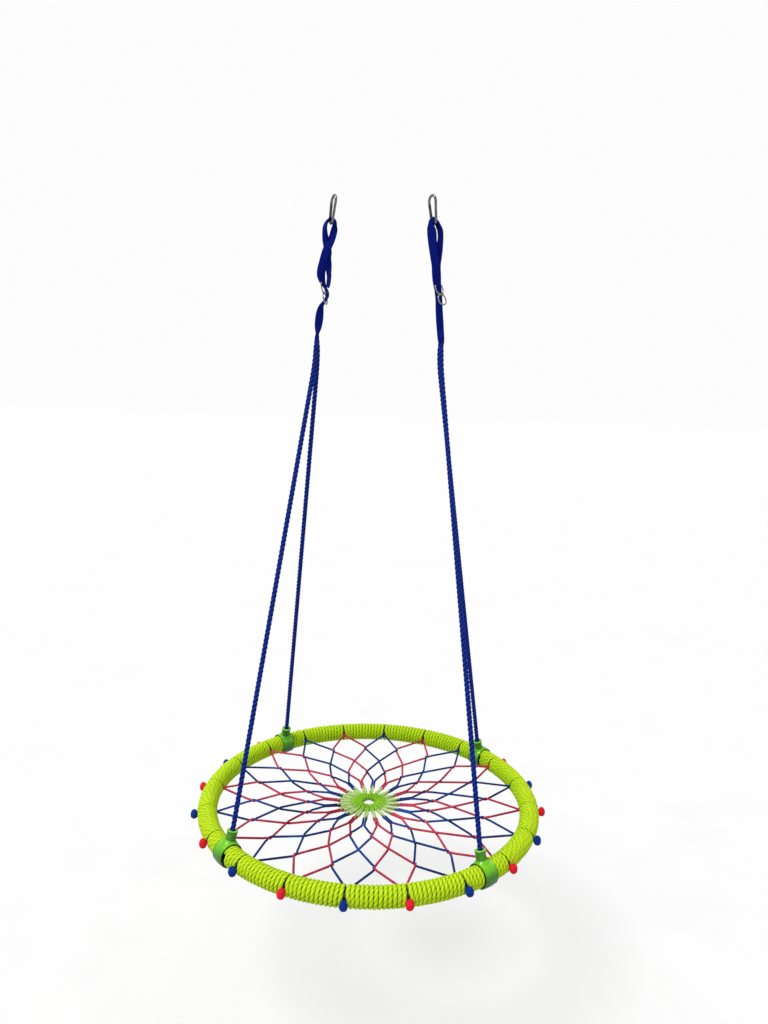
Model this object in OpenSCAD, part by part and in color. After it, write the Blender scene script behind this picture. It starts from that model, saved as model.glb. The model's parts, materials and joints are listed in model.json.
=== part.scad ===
// Saucer nest swing. Millimetres, +Z up. Origin on the ring's centre line, level with the lowest point.
// +X is the user's right when facing +Y; the ring swings towards +Y and -Y.

/* [Ring] */
// Outside diameter of the rope-wound ring
ring_od = 1000; // [900:10:1200]
// Outside diameter of the steel hoop tube
tube_d = 32; // [28:0.5:34]
// Wall thickness of the steel hoop tube
tube_wall = 2; // [1.5:0.5:3]
// Diameter of the rope wound round the hoop
wrap_rope_d = 12; // [10:0.5:12.5]

/* [Net] */
// Number of net cords, red and blue in turn
cord_count = 20; // [20]
// Diameter of a net cord
cord_d = 5.2; // [4:0.1:5.4]
// How far the middle of the net hangs below the ring
net_sag = 13; // [5:1:25]
// Radius of the outer row of cord crossings
row1_r = 346; // [335:1:355]
// Radius of the second row
row2_r = 260; // [250:1:270]
// Radius of the third row
row3_r = 186; // [180:1:195]
// Radius of the inner row, where each cord closes up
row4_r = 134; // [130:1:140]
// Radius at which the net cords hook the hub
hub_r = 92; // [88:1:96]

/* [Connectors] */
// Length of a connector collar along the ring
collar_len = 42; // [38:1:50]
// Largest outside radius of a collar
collar_r = 34; // [34:0.5:37]
// Height of a connector neck above the ring's centre
neck_h = 61; // [55:1:70]
// Inward tilt of the necks
neck_tilt = 15; // [10:1:18]

/* [Suspension] */
// Diameter of the hanging ropes
rope_d = 12; // [10:0.5:12.5]
// Height of the rope bends above the ring's centre
bend_h = 1350; // [1200:10:1500]
// Half the distance between the two rope bends
bend_x = 173; // [165:1:185]
// Lean of the straps and carabiners towards the middle
lean = 6.6; // [5:0.1:8]
// Distance from a rope bend up to the middle of its slider
slider_u = 116; // [110:1:120]
// Distance from a rope bend up to the carabiner's lowest wire centre
hook_u = 298.5; // [290:0.5:310]

/* [Carabiners] */
// Wire diameter of a carabiner
wire_d = 7; // [7:0.5:8]
// Overall length of a carabiner
carabiner_len = 80; // [78:1:82]
// Turn of the left carabiner about its own length
turn_left = 60; // [50:1:75]
// Turn of the right carabiner about its own length
turn_right = 56; // [50:1:75]

/* [Hidden] */
$fn = 48;

green = [0.35, 0.75, 0.16];
lime = [0.76, 0.9, 0.16];
blue = [0.04, 0.16, 0.55];
navy = [0.08, 0.16, 0.43];
red = [0.78, 0.16, 0.27];
steel = [0.6, 0.6, 0.62];
silver = [0.75, 0.75, 0.75];

// Ring
wrap_r = tube_d / 2 + wrap_rope_d;
ring_r = ring_od / 2 - wrap_r;
ring_z = collar_r;
step = 360 / cord_count;
hole_r = 5.5;
strand_gap = cord_d / 2 + 0.05;
knot_r = 11;
knot_top_r = 8.5;
knot_x = ring_od / 2 + 8;
knot_low = -3.5;
knot_high = 6;
wrap_gap_deg = 15 / ring_r * 180 / PI;
inner_r = ring_r - wrap_r - 4;

// Suspension
bend_z = ring_z + bend_h;
rope_half_gap = rope_d / 2 + 0.4;
split_drop = 70;
neck_x = ring_r - neck_h * sin(neck_tilt);
neck_z = ring_z + neck_h * cos(neck_tilt);

// Carabiner, drawn about the centre of its narrow bend
narrow_r = 11;
wide_r = 16;
centre_gap = carabiner_len - narrow_r - wide_r - wire_d;
taper = asin((wide_r - narrow_r) / centre_gap);
side_len = sqrt(pow(centre_gap, 2) - pow(wide_r - narrow_r, 2));
pin_t = 2.5;
pin_r = 1.2;
tongue_half = 1.5;
gate_r = 3.8;
gate_top = side_len - 1.5;
head_t = side_len - 6.7;

// Slider
slider_wire_r = 1.75;
loop_r = 11;
loop_straight = 7;
slider_tilt = 19;
slider_back = 5.2;

// Turn of each strap's wide side, which its slider follows
strap_flat_left = 76;
strap_flat_right = 34;

// Net path helpers: a point at radius r, angle a, sideways offset t and height w above the net
function net_z(r) = -net_sag * (ring_r - r) / (ring_r - hub_r);
function at(r, a, t = 0, w = 0) =
    [r * cos(a) - t * sin(a), r * sin(a) + t * cos(a), ring_z + net_z(r) + w];

module rod(a, b, d) {
  v = b - a;
  length = norm(v);
  translate(a)
    rotate([0, acos(v.z / length), atan2(v.y, v.x)])
      cylinder(h = length, d = d);
}

// A thick rope along a list of points, with a slightly fuller ball at each bend
module rope(points, d) {
  for (i = [0 : len(points) - 2])
    rod(points[i], points[i + 1], d);
  for (i = [1 : len(points) - 2])
    translate(points[i])
      sphere(d = d + 0.25);
}

function unit(v) = v / norm(v);
function reversed(list) = [for (i = [len(list) - 1 : -1 : 0]) list[i]];
// Cuts each corner of a path with a short chamfer
function softened(p, cut) = concat(
    [p[0]],
    [for (i = [1 : len(p) - 2], to = [-1, 1])
        let(v = p[i + to] - p[i]) p[i] + unit(v) * min(cut, 0.45 * norm(v))],
    [p[len(p) - 1]]);
// Direction of travel at every point of a path, halfway between the stretches that meet there
function headings(p) = let(n = len(p), way = [for (i = [0 : n - 2]) unit(p[i + 1] - p[i])])
    [for (i = [0 : n - 1]) unit(way[max(i - 1, 0)] + way[min(i, n - 2)])];
// A sideways vector at every point, carried along the path without twisting
function carried(h) =
    [for (i = 0, w = unit(cross(h[0], [0.31, 0.47, 0.83])); i < len(h);
          i = i + 1, w = i < len(h) ? unit(w - h[i] * (h[i] * w)) : w) w];
// Faces of a tube with n rings of points
function tube_faces(n, sides) = concat(
    [[for (j = [0 : sides - 1]) j]],
    [for (i = [0 : n - 2], j = [0 : sides - 1])
        [i * sides + j, (i + 1) * sides + j, (i + 1) * sides + (j + 1) % sides, i * sides + (j + 1) % sides]],
    [[for (j = [sides - 1 : -1 : 0]) (n - 1) * sides + j]]);

// A thin net cord along a list of points
module cord(points, d, sides = 8) {
  p = softened(points, 2.2);
  h = headings(p);
  w = carried(h);
  rings = [for (i = [0 : len(p) - 1], j = [0 : sides - 1])
      p[i] + (w[i] * cos(j * 360 / sides) + cross(h[i], w[i]) * sin(j * 360 / sides)) * d / 2];
  polyhedron(rings, tube_faces(len(p), sides), convexity = 10);
}

// ---- Ring ----
module tube_torus(r) {
  rotate_extrude($fn = 180)
    translate([ring_r, 0])
      circle(r = r);
}

module hoop_tube() {
  color(steel)
    translate([0, 0, ring_z])
      difference() {
        tube_torus(tube_d / 2);
        tube_torus(tube_d / 2 - tube_wall);
        for (k = [0 : cord_count - 1])
          rotate([0, 90, k * step])
            translate([0, 0, ring_r - tube_d])
              cylinder(h = 2 * tube_d, r = hole_r);
      }
}

// One quarter of the wound rope, drawn as a plain sleeve, with a gap at each net cord
module rope_wrap(middle) {
  color(lime)
    translate([0, 0, ring_z])
      difference() {
        rotate([0, 0, middle - 45 + wrap_gap_deg])
          rotate_extrude(angle = 90 - 2 * wrap_gap_deg, $fn = 180)
            translate([ring_r, 0])
              difference() {
                circle(r = wrap_r);
                circle(r = tube_d / 2 + 0.15);
              }
        for (k = [-2 : 2])
          rotate([0, 0, middle + k * step]) {
            rotate([0, 90, 0])
              translate([0, 0, ring_r - 2 * wrap_r])
                cylinder(h = 4 * wrap_r, r = hole_r);
            translate([knot_x, 0, knot_low])
              sphere(r = knot_r + 0.7);
            translate([knot_x, 0, knot_high])
              sphere(r = knot_top_r + 0.7);
          }
      }
}

// ---- Connectors ----
module collar_shape() {
  h = collar_len / 2;
  rotate([90, 0, 0])
    rotate_extrude($fn = 72)
      polygon([[0, -h], [collar_r - 2.4, -h], [collar_r - 1.2, -h + 1], [collar_r - 1.2, -h + 2.6],
               [collar_r - 2, -h + 3.6], [collar_r - 0.7, -h + 8], [collar_r, -h + 14],
               [collar_r, h - 14], [collar_r - 0.7, h - 8], [collar_r - 2, h - 3.6],
               [collar_r - 1.2, h - 2.6], [collar_r - 1.2, h - 1], [collar_r - 2.4, h], [0, h]]);
}

module neck_shape() {
  top = neck_h;
  base = collar_r;
  rotate_extrude($fn = 64)
    polygon([[0, 18], [22, 18], [22, base - 8], [18.5, base - 3], [15.2, base + 0.5], [14.2, base + 2.5],
             [13.6, base + 14], [14.4, top - 5], [14.8, top - 3], [14.8, top - 1.2], [13.6, top], [0, top]]);
}

// Two rings of slots round the neck, with a rib left between slots at each quarter
module neck_slots() {
  rib = 6;
  for (h = [collar_r + 2.5, collar_r + 8])
    translate([0, 0, h])
      difference() {
        cylinder(h = 2.8, r = 20);
        translate([0, 0, -1])
          cylinder(h = 5, r = 11.6);
        for (turn = [45, 135])
          rotate([0, 0, turn])
            cube([50, rib, 20], center = true);
      }
}

module connector(angle) {
  color(green)
    rotate([0, 0, angle])
      translate([ring_r, 0, ring_z])
        difference() {
          union() {
            collar_shape();
            rotate([0, -neck_tilt, 0])
              neck_shape();
          }
          // bore for the hoop tube
          translate([-ring_r, 0, 0])
            rotate([0, 0, -6])
              rotate_extrude(angle = 12, $fn = 180)
                translate([ring_r, 0])
                  circle(r = tube_d / 2 + 0.2);
          // recesses that cover the ends of the wound rope
          for (side = [-1, 1])
            rotate([side * 90, 0, 0])
              translate([0, 0, 13])
                cylinder(h = collar_len, r = collar_r - 4);
          // slots round the neck, and the socket for the hanging rope
          rotate([0, -neck_tilt, 0]) {
            neck_slots();
            translate([0, 0, 30])
              cylinder(h = neck_h, r = rope_d / 2 + 0.4);
            translate([0, 0, neck_h - 9])
              cylinder(h = 10, r1 = rope_d / 2 + 0.3, r2 = rope_d / 2 + 3.3);
          }
        }
}

// ---- Net ----
// Strand heights at a crossing: blue strands turn flat, red strands turn over and under them
function blue_turn(r, a, side) =
    [for (v = [0.35, -0.35]) at(r + v * cord_d, a + side * step / 2, side * 0.55 * cord_d)];
function red_turn(r, a, side) =
    [for (v = [1, -1])
        at(r + v * 0.15 * cord_d, a + side * step / 2, side * 0.55 * cord_d, v * 1.2 * cord_d)];
function turn(r, a, side, over) = over ? red_turn(r, a, side) : blue_turn(r, a, side);
// One strand: in from outside the ring, two crossings with its neighbours, one with its twin, to the hub eye
function strand(a, side, over) = concat(
    [at(ring_od / 2 - 3.2, a, side * strand_gap, 0),
     at(inner_r, a, side * strand_gap)],
    turn(row1_r, a, side, over),
    [at(row2_r, a, 0, side * 0.65 * cord_d)],
    turn(row3_r, a, -side, over),
    [at(row4_r, a, -side * 0.65 * cord_d),
     at(hub_r + 16, a, -side * 0.65 * cord_d),
     at(hub_r + 9, a, -side * 1.15 * cord_d),
     at(hub_r - 1, a, -side * 1.15 * cord_d),
     at(hub_r - 5, a, -side * 0.45 * cord_d)]);

// A doubled cord, and the ball knot that holds it outside the ring
module net_cord(a, over) {
  cord(concat(strand(a, 1, over), reversed(strand(a, -1, over))), cord_d);
  rotate([0, 0, a])
    translate([knot_x, 0, ring_z]) {
      translate([0, 0, knot_low])
        sphere(r = knot_r);
      translate([0, 0, knot_high])
        sphere(r = knot_top_r);
    }
}

module net_cords_red() {
  color(red)
    for (k = [0 : 2 : cord_count - 1])
      net_cord(k * step, true);
}

module net_cords_blue() {
  color(navy)
    for (k = [1 : 2 : cord_count - 1])
      net_cord(k * step, false);
}

// ---- Hub ----
// Each loop comes out over its net cord, dives through the cord's eye and returns underneath
module hub_loop(a) {
  lift = 1.2 * cord_d;
  cord([at(46, a, -3.3, 3.2), at(hub_r - 8, a, -3.2, lift), at(hub_r + 1.5, a, -0.6, lift),
        at(hub_r + 1.5, a, 0.6, -lift), at(hub_r - 8, a, 3.2, -lift), at(46, a, 3.3, -3.2)], cord_d);
}

module hub_loops() {
  color(green)
    for (k = [0 : cord_count - 1])
      hub_loop(k * step);
}

module hub_ring() {
  half_w = 17;
  half_h = 9.5;
  color(green)
    translate([0, 0, ring_z + net_z(hub_r)])
      rotate_extrude($fn = 96)
        polygon([for (i = [0 : 23]) [32 + half_w * cos(i * 15), half_h * sin(i * 15)]]);
}

// ---- Hanging ropes ----
// One rope a side: up from the front connector, over the bend, down to the back connector
module hanging_rope(s) {
  d = rope_d;
  foot_h = 31;
  foot_x = ring_r - foot_h * sin(neck_tilt);
  foot = [s * foot_x * cos(45), -foot_x * cos(45), ring_z + foot_h * cos(neck_tilt)];
  mouth = [s * neck_x * cos(45), -neck_x * cos(45), neck_z];
  // where the two legs part below the bend
  part = [s * bend_x, -rope_half_gap, bend_z - split_drop];
  color(blue) {
    for (m = [0, 1])
      mirror([0, m, 0])
        rope([foot, mouth, part, [s * bend_x, -rope_half_gap, bend_z]], d);
    translate([s * bend_x, 0, bend_z])
      rotate([90, 0, 90])
        rotate_extrude(angle = 180)
          translate([rope_half_gap, 0])
            circle(d = d);
  }
}

// ---- Upper assembly, in a frame that starts at the rope bend and leans with the strap ----
module side_frame(s) {
  translate([s * bend_x, 0, bend_z])
    rotate([0, -s * lean, 0])
      children();
}

// Strap stations: x, y, distance up, half width, half thickness, turn of the wide side
strap_end = rope_half_gap + rope_d / 2 + 0.8;
leg_top = hook_u + wire_d / 2 + 1.2 + 3.2;
function strap_stations(flat, hook) = let(n = hook - 90, c = cos(n), q = sin(n), h = hook_u, m = slider_u) [
    [0, 0, strap_end, 5.5, 3.4, flat], [0, 0, strap_end + 12, 7, 2.6, flat],
    [0, 0, m - 26, 7, 2.6, flat], [0, 0, m + 36, 7, 2.6, flat],
    [4, -2, m + 60, 8, 3.2, flat / 2], [0, -5, h - 90.5, 8, 3, 0], [-7, -4, h - 60.5, 8.5, 3.2, 0],
    [-12, 0, h - 30.5, 8, 3.6, 0], [-12 * c, -12 * q, h - 10.5, 5.5, 4.2, hook * 0.7],
    [-8.8 * c, -8.8 * q, h + 2.5, 4.4, 3.2, hook], [0, 0, leg_top, 4.4, 3.2, hook],
    [8.8 * c, 8.8 * q, h + 2.5, 4.4, 3.2, hook], [12 * c, 12 * q, h - 10.5, 5.5, 4.2, hook * 0.7],
    [12, 0, h - 30.5, 8, 3.6, 0], [7, 4, h - 60.5, 8.5, 3.2, 0], [0, 5, h - 90.5, 8, 3, 0],
    [-6, 5.5, m + 64, 7, 3, 0], [-7, 6.8, m + 44, 5, 2.6, 0]];

function blend(p, q, r, s, t) =
    0.5 * (2 * q + (r - p) * t + (2 * p - 5 * q + 4 * r - s) * t * t
           + (3 * q - p - 3 * r + s) * t * t * t);
function smooth(list, steps) = let(n = len(list)) concat(
    [for (i = [0 : n - 2], j = [0 : steps - 1])
        blend(list[max(i - 1, 0)], list[i], list[i + 1], list[min(i + 2, n - 1)], j / steps)],
    [list[n - 1]]);
function place(p) = [p[0], p[1], p[2]];

// A flat band swept along smoothed stations
module band(stations, steps = 4, sides = 14) {
  s = smooth(stations, steps);
  n = len(s);
  points = [
    for (i = [0 : n - 1])
      let(ahead = unit(place(s[min(i + 1, n - 1)]) - place(s[max(i - 1, 0)])),
          across = [cos(s[i][5]), sin(s[i][5]), 0],
          wide = unit(across - ahead * (across * ahead)),
          thick = cross(ahead, wide))
        for (j = [0 : sides - 1])
          place(s[i]) + wide * s[i][3] * cos(j * 360 / sides) + thick * s[i][4] * sin(j * 360 / sides)];
  polyhedron(points, tube_faces(n, sides), convexity = 8);
}

module strap(s, flat, hook) {
  color(blue)
    side_frame(s)
      band(strap_stations(flat, hook));
}

// ---- Sliders ----
// Two wire loops joined by a bar at the waist; the strap runs through the upper one, behind the bar
module slider_shape() {
  rotate([0, 90, 0])
    cylinder(h = 2 * loop_r - 5, r = slider_wire_r + 0.2, center = true);
  for (end = [-1, 1])
    translate([0, 0, end * (loop_r + 1.3)])
      scale([1, 1, end]) {
        for (side = [-1, 1])
          translate([side * loop_r, 0, 0])
            cylinder(h = loop_straight, r = slider_wire_r);
        for (half = [0, 1])
          translate([0, 0, half * loop_straight])
            rotate([90, half * 180 + 180, 0])
              rotate_extrude(angle = 180)
                translate([loop_r, 0])
                  circle(r = slider_wire_r);
      }
}

module slider(s, flat) {
  color(silver)
    side_frame(s)
      translate([0, 0, slider_u])
        rotate([0, 0, flat])
          translate([0, -slider_back, 0])
            rotate([-slider_tilt, 0, 0])
              slider_shape();
}

// ---- Carabiners: body, gate and gate pin share one frame ----
module carabiner_frame(s, turn) {
  side_frame(s)
    translate([0, 0, hook_u + narrow_r])
      rotate([0, 0, -turn])
        children();
}

// Frame that runs up the gate side: +Z along the gate, -X to the outside
module gate_side() {
  translate([-narrow_r * cos(taper), 0, -narrow_r * sin(taper)])
    rotate([0, -taper, 0])
      children();
}

module bend(r, from, sweep) {
  rotate([90, 0, 0])
    rotate([0, 0, from])
      rotate_extrude(angle = sweep, $fn = 96)
        translate([r, 0])
          circle(d = wire_d);
}

module carabiner_body(s, turn) {
  color(steel)
    carabiner_frame(s, turn) {
      difference() {
        union() {
          bend(narrow_r, 180 + taper, 180 - 2 * taper);
          translate([narrow_r * cos(taper), 0, -narrow_r * sin(taper)])
            rotate([0, taper, 0])
              cylinder(h = side_len, d = wire_d);
          translate([0, 0, centre_gap])
            bend(wide_r, -taper, 180 + 2 * taper);
          // slightly full balls close the seams between straight and curved wire
          for (t = [0, side_len])
            translate([narrow_r * cos(taper) + t * sin(taper), 0, -narrow_r * sin(taper) + t * cos(taper)])
              sphere(d = wire_d + 0.1);
        }
        // trims the lower end back from the gate
        gate_side()
          translate([0, 0, pin_t - 4.6 + 5])
            cube([14, 14, 10], center = true);
      }
      gate_side() {
        // hinge tongue
        difference() {
          union() {
            translate([-3.3, -tongue_half, -6])
              cube([6.6, 2 * tongue_half, 6 + pin_t]);
            translate([0, tongue_half, pin_t])
              rotate([90, 0, 0])
                cylinder(h = 2 * tongue_half, r = 3.3);
          }
          translate([0, 5, pin_t])
            rotate([90, 0, 0])
              cylinder(h = 10, r = pin_r + 0.05);
        }
        // nose: shank and head that hook into the gate
        translate([0, 0, head_t])
          cylinder(h = 2, r = 2.4);
        translate([0, 0, head_t + 1])
          cylinder(h = side_len - head_t + 1, r = 1.3);
      }
    }
}

module gate(s, turn) {
  color(steel)
    carabiner_frame(s, turn)
      gate_side()
        difference() {
          union() {
            translate([0, 0, pin_t])
              cylinder(h = gate_top - pin_t, r = gate_r);
            intersection() {
              translate([0, gate_r, pin_t])
                rotate([90, 0, 0])
                  cylinder(h = 2 * gate_r, r = gate_r - 0.01);
              translate([0, 0, pin_t - gate_r])
                cylinder(h = 2 * gate_r, r = gate_r);
            }
          }
          // fork for the hinge tongue
          translate([-8, -tongue_half - 0.25, pin_t - 10])
            cube([16, 2 * tongue_half + 0.5, 14.3]);
          translate([0, 6, pin_t])
            rotate([90, 0, 0])
              cylinder(h = 12, r = pin_r + 0.05);
          // slot and pocket for the nose, open to the outside
          translate([-8, -1.7, head_t + 1.8])
            cube([9.8, 3.4, 12]);
          translate([-8, -2.8, head_t - 0.5])
            cube([10.8, 5.6, 3]);
        }
}

module gate_pin(s, turn) {
  color(silver)
    carabiner_frame(s, turn)
      gate_side()
        translate([0, 3.3, pin_t])
          rotate([90, 0, 0])
            cylinder(h = 6.6, r = pin_r);
}

hoop_tube();
rope_wrap(270);  // rope_wrap_front
rope_wrap(0);  // rope_wrap_right
rope_wrap(90);  // rope_wrap_back
rope_wrap(180);  // rope_wrap_left
connector(225);  // connector_front_left
connector(315);  // connector_front_right
connector(135);  // connector_back_left
connector(45);  // connector_back_right
net_cords_red();
net_cords_blue();
hub_loops();
hub_ring();
hanging_rope(-1);  // hanging_rope_left
hanging_rope(1);  // hanging_rope_right
strap(-1, strap_flat_left, -turn_left);  // strap_left
strap(1, strap_flat_right, -turn_right);  // strap_right
slider(-1, strap_flat_left);  // slider_left
slider(1, strap_flat_right);  // slider_right
carabiner_body(-1, turn_left);  // carabiner_left
carabiner_body(1, turn_right);  // carabiner_right
gate(-1, turn_left);  // gate_left
gate(1, turn_right);  // gate_right
gate_pin(-1, turn_left);  // gate_pin_left
gate_pin(1, turn_right);  // gate_pin_right
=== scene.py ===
import json
import math

import bpy
import numpy as np
from mathutils import Matrix, Vector


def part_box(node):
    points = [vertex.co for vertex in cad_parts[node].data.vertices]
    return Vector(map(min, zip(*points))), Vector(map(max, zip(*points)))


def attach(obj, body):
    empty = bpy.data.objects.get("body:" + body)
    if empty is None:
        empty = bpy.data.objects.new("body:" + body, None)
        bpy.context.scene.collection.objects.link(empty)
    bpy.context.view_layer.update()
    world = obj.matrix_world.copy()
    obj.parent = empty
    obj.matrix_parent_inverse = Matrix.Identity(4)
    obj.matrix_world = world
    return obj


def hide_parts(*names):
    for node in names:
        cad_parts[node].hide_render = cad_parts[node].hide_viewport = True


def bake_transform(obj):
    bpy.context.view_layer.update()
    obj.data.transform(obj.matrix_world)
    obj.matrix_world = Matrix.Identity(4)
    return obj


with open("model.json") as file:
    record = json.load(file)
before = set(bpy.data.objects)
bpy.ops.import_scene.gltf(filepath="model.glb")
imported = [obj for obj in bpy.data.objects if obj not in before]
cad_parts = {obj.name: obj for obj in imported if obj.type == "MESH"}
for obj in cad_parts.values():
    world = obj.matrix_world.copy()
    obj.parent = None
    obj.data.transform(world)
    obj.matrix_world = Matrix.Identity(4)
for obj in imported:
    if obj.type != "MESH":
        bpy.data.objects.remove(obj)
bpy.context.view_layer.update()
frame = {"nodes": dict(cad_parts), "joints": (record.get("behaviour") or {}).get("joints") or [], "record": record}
rng = np.random.default_rng(7)

# Lengths are in metres, with x to the right, y to the back and z up.
MM = 0.001
UP = np.array([0.0, 0.0, 1.0])
BACK = np.array([0.0, 1.0, 0.0])


# ---------------------------------------------------------------- sizes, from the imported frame
def span(node, axis):
    """Half the size of a node's box along an axis, and the middle of it."""
    lo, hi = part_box(node)
    return (hi[axis] - lo[axis]) / 2, (hi[axis] + lo[axis]) / 2


TUBE_R, RING_Z = span("hoop_tube", 2)
RING_R = span("hoop_tube", 0)[0] - TUBE_R
WRAP_R = span("rope_wrap_right", 2)[0]
HUB_Z = span("hub_ring", 2)[1]
JOINTS = {j["name"]: j for j in frame["joints"]}
MOUNTS = {m["name"]: np.array(m["pos_m"]) for m in frame["record"]["mounts"]}
BEND_Z = JOINTS["seat_swing"]["pos_m"][2]  # where the hanging ropes bend over

CORDS = 20                                 # net cords round the ring, red and blue in turn
STEP = 2 * math.pi / CORDS                 # angle from one cord to the next
CORD_D = 6.5 * MM                          # thickness of a net cord
HUB_R = 92 * MM                            # where the net cords meet the hub loops
ROPE_R = 7.1 * MM                          # radius of a hanging rope


# ---------------------------------------------------------------- paths
def unit(v):
    """A vector, or each row of vectors, at length one."""
    v = np.asarray(v, float)
    return v / np.maximum(np.linalg.norm(v, axis=-1, keepdims=True), 1e-12)


def around(n):
    """n angles spaced evenly round a circle."""
    return np.arange(n) * 2 * math.pi / n


def squared(angles, across, through):
    """Points of a rounded box from -1 to 1. The lower the two powers, the squarer it is."""
    c, s = np.cos(angles), np.sin(angles)
    return np.sign(c) * np.abs(c) ** across, np.sign(s) * np.abs(s) ** through


def rounded(points, cuts, n):
    """Each corner of a polyline becomes a smooth bend of n points that starts and ends cut away from it."""
    p = [np.asarray(q, float) for q in points]
    cuts = [cuts] * len(p) if np.isscalar(cuts) else cuts
    most = 0.48  # of a side, so that two bends never meet
    out = [p[0]]
    for before, corner, after, cut in zip(p, p[1:], p[2:], cuts[1:]):
        ends = []
        for side in (before - corner, after - corner):
            length = np.linalg.norm(side)
            ends.append(corner + side * min(cut, most * length) / length)
        for t in np.linspace(0, 1, n):
            out.append((1 - t) ** 2 * ends[0] + 2 * t * (1 - t) * corner + t * t * ends[1])
    out.append(p[-1])
    return np.array(out)


def gaps(p):
    """Distance from each point of a path to the next."""
    return np.linalg.norm(np.diff(p[:, :3], axis=0), axis=1)


def travelled(p):
    """Distance along a path at each of its points."""
    return np.concatenate([[0], np.cumsum(gaps(p))])


def resampled(p, step):
    """The same path with points evenly step apart. Columns after the third are carried along."""
    p = p[np.concatenate([[True], gaps(p) > 1e-9])]
    s = travelled(p)
    n = max(3, int(round(s[-1] / step)) + 1)
    even = np.linspace(0, s[-1], n)
    return np.stack([np.interp(even, s, p[:, k]) for k in range(p.shape[1])], 1)


def spline(stations, step):
    """A smooth curve through stations, whose first three columns are a place."""
    s = np.asarray(stations, float)
    s = np.vstack([2 * s[0] - s[1], s, 2 * s[-1] - s[-2]])
    out = []
    for p, q, r, e in zip(s, s[1:], s[2:], s[3:]):
        for t in np.linspace(0, 1, 12, endpoint=False):
            out.append(0.5 * (2 * q + (r - p) * t + (2 * p - 5 * q + 4 * r - e) * t ** 2
                              + (3 * q - p - 3 * r + e) * t ** 3))
    out.append(s[-2])
    return resampled(np.array(out), step)


def headings(p):
    """Direction of a path at each of its points."""
    d = unit(np.diff(p, axis=0))
    return unit(np.vstack([d[:1], d[:-1] + d[1:], d[-1:]]))


def carried(t):
    """A sideways vector at every point, carried along the headings t without twisting."""
    w = np.cross(t[0], (0.31, 0.47, 0.83))  # no path starts in this direction
    out = np.empty_like(t)
    for i in range(len(t)):
        w = w - t[i] * (w @ t[i])
        w = w / np.linalg.norm(w)
        out[i] = w
    return out


def squared_to(t, v):
    """Each vector of v, turned the least that makes it square to the headings t, at length one."""
    return unit(v - t * np.sum(v * t, 1, keepdims=True))


# ---------------------------------------------------------------- meshes
class Pile:
    """Tubes gathered into one mesh, with two values at each point for the material.

    lay is the place in the rope in metres: along it, and the two ways across it.
    lobe is a tone of painted light and shade: 1 on the lit crests of the strands and 0 in the
    painted shade between them."""

    def __init__(self):
        self.verts, self.faces, self.lay, self.lobe, self.count = [], [], [], [], 0

    def tube(self, rings, lay, lobe, closed=False):
        """Add a tube through rings of points. It has two capped ends unless it is closed into a ring."""
        n, m = rings.shape[:2]
        idx = self.count + np.arange(n * m).reshape(n, m)
        nxt = np.roll(idx, -1, 1)
        if closed:
            a, b, c, d = idx, np.roll(idx, -1, 0), np.roll(nxt, -1, 0), nxt
        else:
            a, b, c, d = idx[:-1], idx[1:], nxt[1:], nxt[:-1]
        self.faces += np.stack([a, d, c, b], -1).reshape(-1, 4).tolist()
        if not closed:
            self.faces += [idx[0].tolist()[::-1], idx[-1].tolist()]
        self.verts.append(rings.reshape(-1, 3))
        self.lay.append(lay.reshape(-1, 3))
        self.lobe.append(np.broadcast_to(lobe, (n, m)).reshape(-1))
        self.count += n * m

    def piece(self, name, material, slot, node=None, body=None):
        """The finished piece. It may stand for a CAD node, and ride on a body."""
        mesh = bpy.data.meshes.new(name)
        mesh.from_pydata(np.concatenate(self.verts).tolist(), [], self.faces)
        lay = mesh.attributes.new("lay", "FLOAT_VECTOR", "POINT")
        lay.data.foreach_set("vector", np.concatenate(self.lay).astype(np.float32).ravel())
        lobe = mesh.attributes.new("lobe", "FLOAT", "POINT")
        lobe.data.foreach_set("value", np.concatenate(self.lobe).astype(np.float32))
        mesh.polygons.foreach_set("use_smooth", [True] * len(mesh.polygons))
        mesh.materials.append(material)
        mesh.update()
        mesh.validate()
        o = bpy.data.objects.new(name, mesh)
        bpy.context.scene.collection.objects.link(o)
        if node:
            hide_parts(node)
        if body:
            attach(o, body)
        return o


def laid_section(sides, strands, fullness):
    """Outline of a laid rope of unit radius: overlapping round strands with valleys between them."""
    psi = around(sides)
    sector = 2 * math.pi / strands
    d = (psi + sector / 2) % sector - sector / 2
    off = 1 - fullness
    r = off * np.cos(d) + np.sqrt(fullness ** 2 - (off * np.sin(d)) ** 2)
    lo = off * math.cos(sector / 2) + math.sqrt(fullness ** 2 - (off * math.sin(sector / 2)) ** 2)
    return psi, r, (r - lo) / (1 - lo)


def add_rope(pile, p, radius, turn_length, sides, fullness, offset, strands=3, normal=None, facing=0.0,
             shade=1.0):
    """A laid rope along p, whose strands go round once in turn_length and start at the angle offset.

    radius, offset and shade are one number, or one for each point. facing paints shade on what lies away
    from normal, as in the grooves between the turns of a winding. shade is painted shade over the rope all round."""
    t = headings(p)
    n = carried(t) if normal is None else squared_to(t, normal)
    b = np.cross(t, n)
    s = travelled(p)
    psi, r, lobe = laid_section(sides, strands, fullness)
    turn = offset + 2 * math.pi * s / turn_length
    ang = psi[None, :] + turn[:, None]
    rad = np.broadcast_to(np.asarray(radius, float), (len(p),))[:, None] * r[None, :]
    across = np.cos(ang)[..., None] * n[:, None] + np.sin(ang)[..., None] * b[:, None]
    lay = np.stack([np.broadcast_to(s[:, None], ang.shape), rad * np.cos(ang), rad * np.sin(ang)], -1)
    # painted shade in the grooves: the tone falls off away from the normal
    lit = np.clip((np.cos(ang) - 0.2) / 0.7, 0, 1)
    tone = (1 - facing) * lobe[None, :] + facing * lit * (0.45 + 0.55 * lobe[None, :])
    tone = tone * np.broadcast_to(shade, (len(p),))[:, None]
    pile.tube(p[:, None] + rad[..., None] * across, lay, tone)


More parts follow.
